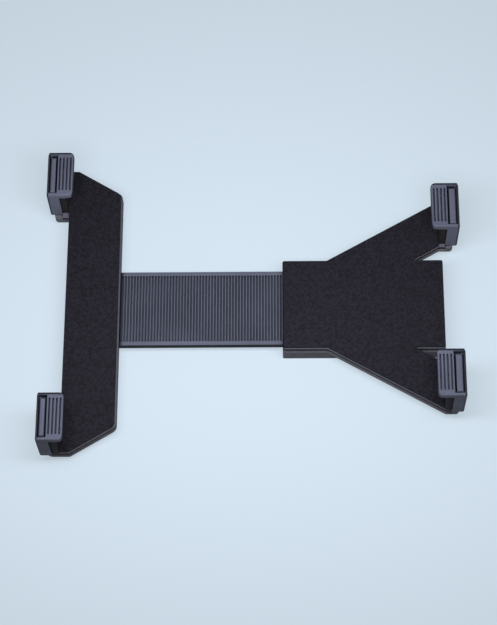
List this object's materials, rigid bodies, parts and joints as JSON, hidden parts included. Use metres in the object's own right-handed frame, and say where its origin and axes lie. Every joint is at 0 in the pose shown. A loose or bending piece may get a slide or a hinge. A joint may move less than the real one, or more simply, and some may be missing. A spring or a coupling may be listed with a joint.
{
  "type": "tablet holder",
  "caption": "Car tablet cradle: a fixed body with splayed arms, a jaw that slides out of its sleeve on a ribbed rack, hook claws with foam cushions, foam faces and a release button behind.",
  "frame": {"origin": "centre of the rear bolt pattern, on the sleeve's flat back face", "axes": "+Z out of the holder's face, towards the tablet; +X along the slide, from the jaw towards the body's claws; +Y across, so that the holder lies on its back"},
  "size_m": [0.2259, 0.1694, 0.0366],
  "materials": {
    "shell_plastic": "fine moulded grain, dark grey",
    "cover_plastic": "fine moulded grain, black",
    "claw_plastic": "satin, dark blue grey",
    "rack_plastic": "satin, dark blue grey",
    "face_foam": "matte closed-cell foam, mottled black",
    "cushion_foam": "matte closed-cell foam, black",
    "latch_plastic": "natural white acetal",
    "button_plastic": "satin, dark grey",
    "screw_steel": "blackened steel",
    "spring_steel": "bright spring strip",
    "insert_brass": "plain turned brass"
  },
  "bodies": {
    "holder": {"rear_cover": "shell_plastic", "front_cover": "cover_plastic", "body_face_pad": "face_foam", "cover_screws": "screw_steel", "mount_inserts": "insert_brass", "pawl_spring": "spring_steel", "body_claw_screws": "screw_steel", "body_claw_upper": "claw_plastic", "body_cushion_upper": "cushion_foam", "body_claw_lower": "claw_plastic", "body_cushion_lower": "cushion_foam"},
    "latch": {"pawl_frame": "latch_plastic", "release_button": "button_plastic"},
    "jaw": {"slide_rack": "rack_plastic", "jaw_base": "shell_plastic", "jaw_cover": "cover_plastic", "jaw_face_pad": "face_foam", "jaw_screws": "screw_steel", "jaw_claw_screws": "screw_steel", "jaw_claw_upper": "claw_plastic", "jaw_cushion_upper": "cushion_foam", "jaw_claw_lower": "claw_plastic", "jaw_cushion_lower": "cushion_foam"}
  },
  "joints": [
    {"name": "jaw_slide", "type": "slide", "parent": "holder", "child": "jaw", "axis": [1, 0, 0], "range_m": [0, 0.08856]},
    {"name": "release_press", "type": "slide", "parent": "holder", "child": "latch", "axis": [0, 0, 1], "range_m": [-0.0008, 0.0003], "stiffness_N_per_m": 800, "deforming": ["pawl_spring"]}
  ]
}
